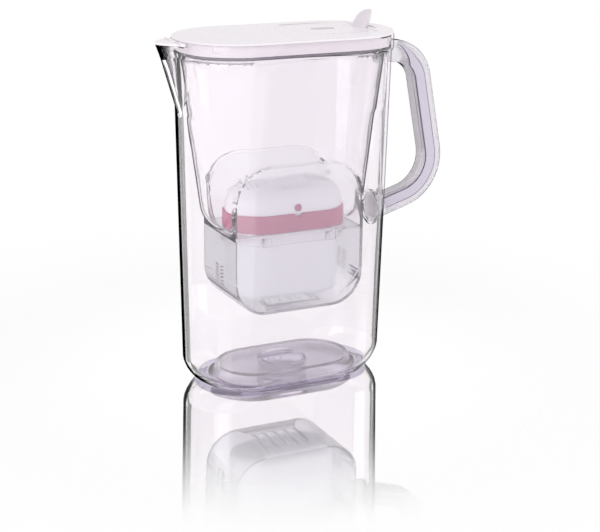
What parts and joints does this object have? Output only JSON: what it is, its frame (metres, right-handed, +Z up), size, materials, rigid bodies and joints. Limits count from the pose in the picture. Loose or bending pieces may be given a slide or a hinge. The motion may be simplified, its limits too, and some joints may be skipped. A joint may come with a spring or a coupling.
{
  "type": "water filter pitcher with flip lid",
  "caption": "Slim clear jug with a drop-in funnel, oval filter cartridge, hinged fill flap with thumb lever, spout flap and D-shaped handle.",
  "frame": {"origin": "middle of the jug's foot, on the surface that it stands on", "axes": "+X runs along the jug towards the handle, -X to the spout, -Y is the front long side, +Z up"},
  "size_m": [0.2403, 0.092, 0.2821],
  "materials": {
    "clear_plastic": "clear, faint lavender tint, polished",
    "clear_handle": "clear, polished",
    "inlay_plastic": "translucent lavender grey, satin",
    "milky_plastic": "milky clear, satin",
    "white_plastic": "opaque white, satin",
    "cartridge_plastic": "opaque white, matt",
    "seal_rubber": "pink silicone, satin",
    "lever_plastic": "light grey, satin",
    "sieve_mesh": "fine woven plastic",
    "granulate": "loose dark granules",
    "pin_steel": "ground steel",
    "window_plastic": "clear window"
  },
  "bodies": {
    "jug_body": {"jug": "clear_plastic", "handle": "clear_handle", "handle_inlay_front": "inlay_plastic", "handle_inlay_rear": "inlay_plastic"},
    "funnel_body": {"funnel": "clear_plastic", "filter_pocket": "milky_plastic"},
    "cartridge": {"cartridge_cup": "cartridge_plastic", "cartridge_dome": "cartridge_plastic", "seal_ring": "seal_rubber", "vent_button": "seal_rubber", "inlet_sieve": "sieve_mesh", "filter_granulate": "granulate", "outlet_sieve": "sieve_mesh"},
    "lid": {"lid_cover": "white_plastic", "lid_ring": "white_plastic", "fill_flap_pin": "pin_steel", "spout_flap_pin": "pin_steel"},
    "flip_flap": {"fill_flap": "white_plastic", "thumb_lever": "lever_plastic", "indicator_housing": "white_plastic", "indicator_window": "window_plastic"},
    "spout_cover": {"spout_flap": "white_plastic"}
  },
  "joints": [
    {"name": "funnel_lift", "type": "slide", "parent": "jug_body", "child": "funnel_body", "axis": [0, 0, 1], "range_m": [0, 0.22]},
    {"name": "cartridge_lift", "type": "slide", "parent": "funnel_body", "child": "cartridge", "axis": [0, 0, 1], "range_m": [0, 0.095]},
    {"name": "lid_lift", "type": "slide", "parent": "funnel_body", "child": "lid", "axis": [0, 0, 1], "range_m": [0, 0.12]},
    {"name": "flip_flap_hinge", "type": "hinge", "parent": "lid", "child": "flip_flap", "pos_m": [0.07, 0, 0.2664], "axis": [0, 1, 0], "range_deg": [0, 50]},
    {"name": "spout_cover_hinge", "type": "hinge", "parent": "lid", "child": "spout_cover", "pos_m": [-0.0884, 0, 0.266], "axis": [0, 1, 0], "range_deg": [0, 50]}
  ]
}
